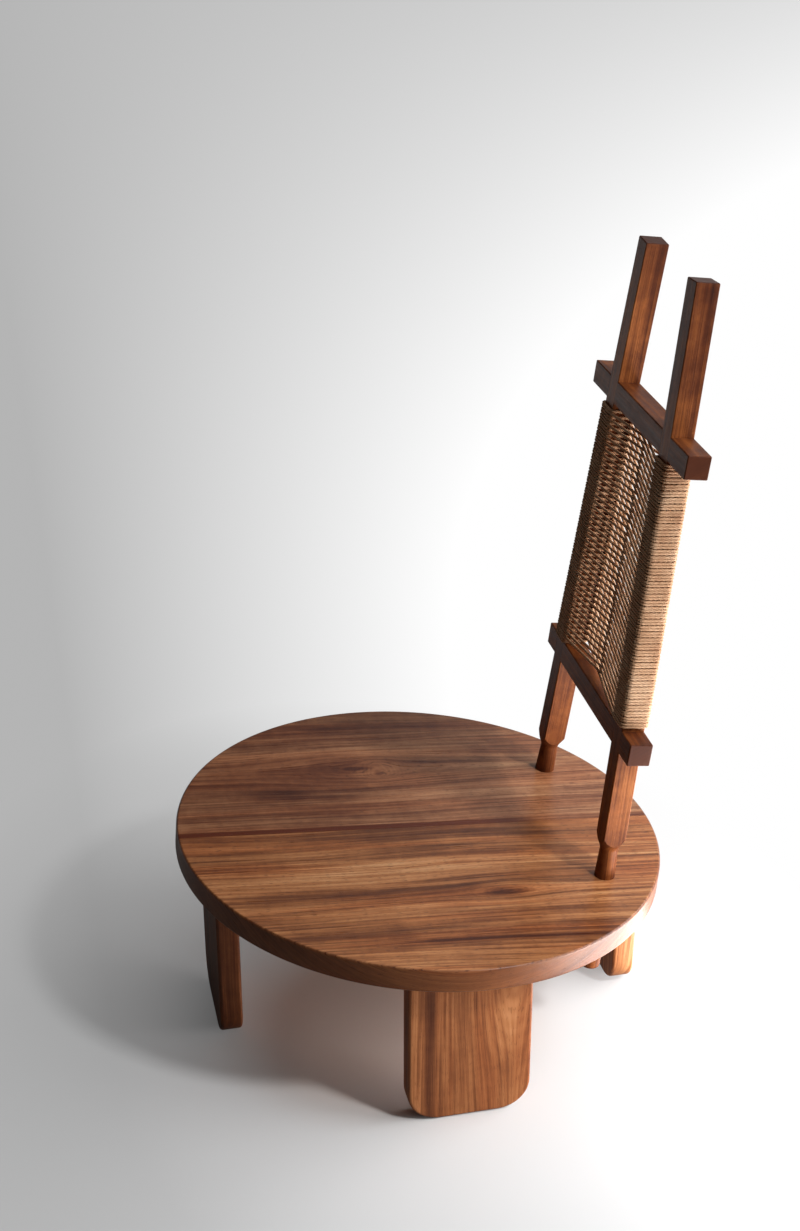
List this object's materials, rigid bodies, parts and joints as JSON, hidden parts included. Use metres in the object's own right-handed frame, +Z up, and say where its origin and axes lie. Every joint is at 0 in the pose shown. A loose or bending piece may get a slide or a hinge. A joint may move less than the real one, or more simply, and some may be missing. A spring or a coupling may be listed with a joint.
{
  "type": "chair",
  "caption": "Low wooden chair with a round sloping slab seat on slab legs and a tall splayed back of posts and rails wound with natural cord.",
  "frame": {"origin": "on the floor, under the middle of the chair's box", "axes": "+Z up, the sitter faces -Y, the back is at +Y and the chair's left side is +X"},
  "size_m": [0.6, 0.6075, 0.9385],
  "materials": {
    "seat_wood": "satin oiled",
    "leg_wood": "satin oiled",
    "back_wood": "satin oiled",
    "dowel_wood": "raw",
    "cord": "twisted matt"
  },
  "bodies": {
    "root": {"seat_board_left": "seat_wood", "seat_board_right": "seat_wood", "seat_dowel_1": "dowel_wood", "seat_dowel_2": "dowel_wood", "seat_dowel_3": "dowel_wood", "leg_front": "leg_wood", "leg_front_dowel_1": "dowel_wood", "leg_front_dowel_2": "dowel_wood", "leg_back": "leg_wood", "leg_back_dowel_1": "dowel_wood", "leg_back_dowel_2": "dowel_wood", "leg_left": "leg_wood", "leg_left_dowel_1": "dowel_wood", "leg_left_dowel_2": "dowel_wood", "leg_right": "leg_wood", "leg_right_dowel_1": "dowel_wood", "leg_right_dowel_2": "dowel_wood", "post_left": "back_wood", "post_right": "back_wood", "lower_rail": "back_wood", "upper_rail": "back_wood", "rope_winding": "cord"}
  },
  "joints": []
}
